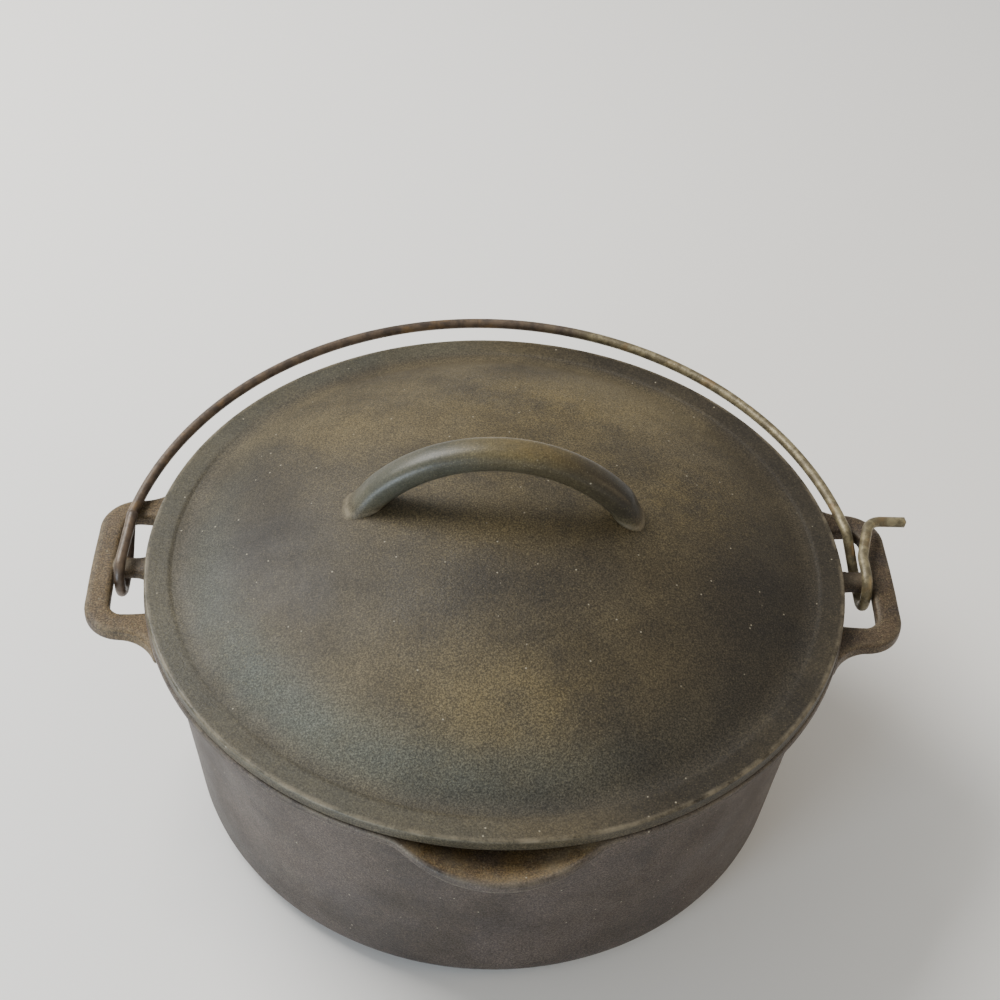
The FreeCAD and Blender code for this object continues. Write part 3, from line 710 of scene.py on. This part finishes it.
WIRE = 4.3
HALF_WIRE = WIRE / 2
BOW_RADIUS = LID_RADIUS + 10.5
BOW_BACK = 35.0
BOW_SHIFT = -1.6
BOW_TILT = math.radians(4.5)
REST_GAP = 0.2
KINK_BEND = 6.0
LOOP_GAP = 0.45
LOOP_PLAY = 1.15
LOOP_SLACK = 0.6
LOOP_BEND = 7.0
HOOK_RIGHT = 35
HOOK_LEFT = 30
HOOK_STRAIGHT = 15.5
HOOK_SPREAD = 5.2
TIP_LENGTH = 15.5

# the loops, seen from the side: their front, top and bottom
loop_x = EAR_REACH - BAND_WIDTH - LOOP_GAP - HALF_WIRE
loop_radius = BAR_WIDTH / 2 + HALF_WIRE + LOOP_PLAY
loop_front = -LOOP_SLACK - loop_radius
loop_top = BAR_HEIGHT - LOOP_SLACK + loop_radius
loop_bottom = BAR_HEIGHT - LOOP_SLACK - loop_radius

# the bow lies back on the front edges of the ears' rear arms
back = np.array([0, math.cos(BOW_TILT), math.sin(BOW_TILT)])
rest = np.array([BOW_SHIFT, EAR_HALF - ARM_WIDTH, EAR_TOP + HALF_WIRE + REST_GAP])
bow_middle = rest + back * (ARM_WIDTH / 2 - BOW_BACK)
half_span = math.sqrt(BOW_RADIUS ** 2 - BOW_BACK ** 2)


def loop_corners(direction):
    """The corners of one side's wire from the bow's end to its loop's top, each with its bend: straight on
    from the bow past the arm, down to the loop's bottom, forwards under the bar and up in front of it."""
    end = bow_middle + back * BOW_BACK + np.array([direction * half_span, 0, 0])
    tangent = (np.array([direction * BOW_BACK, 0, 0]) - back * half_span) / BOW_RADIUS
    kink = end + tangent * (ARM_WIDTH / 2 + 1.3 * HALF_WIRE)
    return [
        (*end, 0),
        (*kink, KINK_BEND),
        (direction * loop_x, BAR_WIDTH / 2 + WIRE, loop_bottom, KINK_BEND),
        (direction * loop_x, loop_front, loop_bottom, LOOP_BEND),
        (direction * loop_x, loop_front, loop_top, LOOP_BEND),
    ]


tip_y = loop_front + HOOK_RIGHT
tip_z = loop_top + HALF_WIRE / 2
right_run = rounded_run(loop_corners(1) + [
    (loop_x, loop_front + HOOK_STRAIGHT, loop_top, 12.0),
    (loop_x + HOOK_SPREAD, tip_y, tip_z, 6.0),
    (loop_x + HOOK_SPREAD + TIP_LENGTH, tip_y, tip_z, 0),
], steps=8, arc_steps=9)
left_run = rounded_run(loop_corners(-1) + [
    (-loop_x + HALF_WIRE, loop_front + HOOK_LEFT, loop_top + 1.2 * HALF_WIRE, 0),
], steps=8, arc_steps=9)
sweep_half = math.atan2(half_span, BOW_BACK)
bow_angle = np.linspace(sweep_half, -sweep_half, 180)[1:-1, None]
bow = bow_middle + BOW_RADIUS * (np.sin(bow_angle) * np.array([1, 0, 0]) + np.cos(bow_angle) * back)
bends = np.concatenate([right_run[::-1], bow, left_run])

# the same path in even steps, with a side and an up direction at each of them
run = np.append(0, np.cumsum(np.linalg.norm(np.diff(bends, axis=0), axis=1)))
even = np.linspace(0, run[-1], 620)
wire_path = np.stack([np.interp(even, run, bends[:, axis]) for axis in range(3)], axis=-1)
wire_along = np.gradient(wire_path, axis=0)
wire_along /= np.linalg.norm(wire_along, axis=1)[:, None]
wire_side = np.cross(wire_along, np.full(3, 1 / math.sqrt(3)))
wire_side /= np.linalg.norm(wire_side, axis=1)[:, None]
wire_up = np.cross(wire_side, wire_along)

# the wire is cut off blunt at its ends, and worn a little thinner here and there
from_end = np.minimum(even, even[-1] - even)
blunt = np.sqrt(np.clip(1 - (1 - np.clip(from_end / 0.9, 0, 1)) ** 2, 0.02, 1))
worn = 1 - 0.012 * (1 + np.sin(even / 7.3) * np.sin(even / 17.9 + 1))
thickness = HALF_WIRE * blunt * worn
wire_rings = swept(wire_path, thickness, thickness, wire_side, wire_up, power=2.0, around=24)

RUST_DARK, RUST_LIGHT = (0.050, 0.034, 0.024), (0.120, 0.082, 0.052)
ZINC_DARK, ZINC_LIGHT = (0.135, 0.112, 0.066), (0.27, 0.23, 0.135)
RUST_STAIN = (0.24, 0.14, 0.05)
PIT_DEPTH = 0.0004


def worn_zinc(name):
    """Old zinced wire: greyish yellow zinc with dark scrapes to the right, turning to brown rust to the
    left, by a share that follows the place across the oven."""
    material, tree, shader = new_material(name)
    place = add_node(tree, "TexCoord").outputs["Object"]
    across_pot = add_node(tree, "SeparateXYZ", {"Vector": place}).outputs[0]
    rough = noise(tree, place, 60, 5, 0.7)
    zinc = spread(tree, difference(tree, across_pot, product(tree, rough, 0.12)), -0.05, 0.0)
    rust = blend_colours(tree, spread(tree, noise(tree, place, 150, 4, 0.7), 0.35, 0.65), RUST_DARK,
                         RUST_LIGHT)
    metal = blend_colours(tree, spread(tree, noise(tree, place, 210, 4, 0.7), 0.42, 0.6), ZINC_DARK,
                          ZINC_LIGHT)
    ground = blend_colours(tree, zinc, rust, metal)
    stained = spread(tree, noise(tree, place, 90, 3, 0.6), 0.56, 0.70, 0, 0.45)
    ground = blend_colours(tree, stained, ground, RUST_STAIN)
    tree.links.new(ground, shader.inputs["Base Color"])
    tree.links.new(spread(tree, zinc, 0, 1, 0.1, 0.35), shader.inputs["Metallic"])
    tree.links.new(spread(tree, rough, 0.3, 0.7, 0.36, 0.55), shader.inputs["Roughness"])
    pits = bump(tree, noise(tree, place, 500, 4, 0.7), 0.5, PIT_DEPTH)
    tree.links.new(pits, shader.inputs["Normal"])
    return material


add_piece("bail_bow", [skin(wire_rings)], "bail", "bail_wire", ["bail"], worn_zinc("bail_wire"))
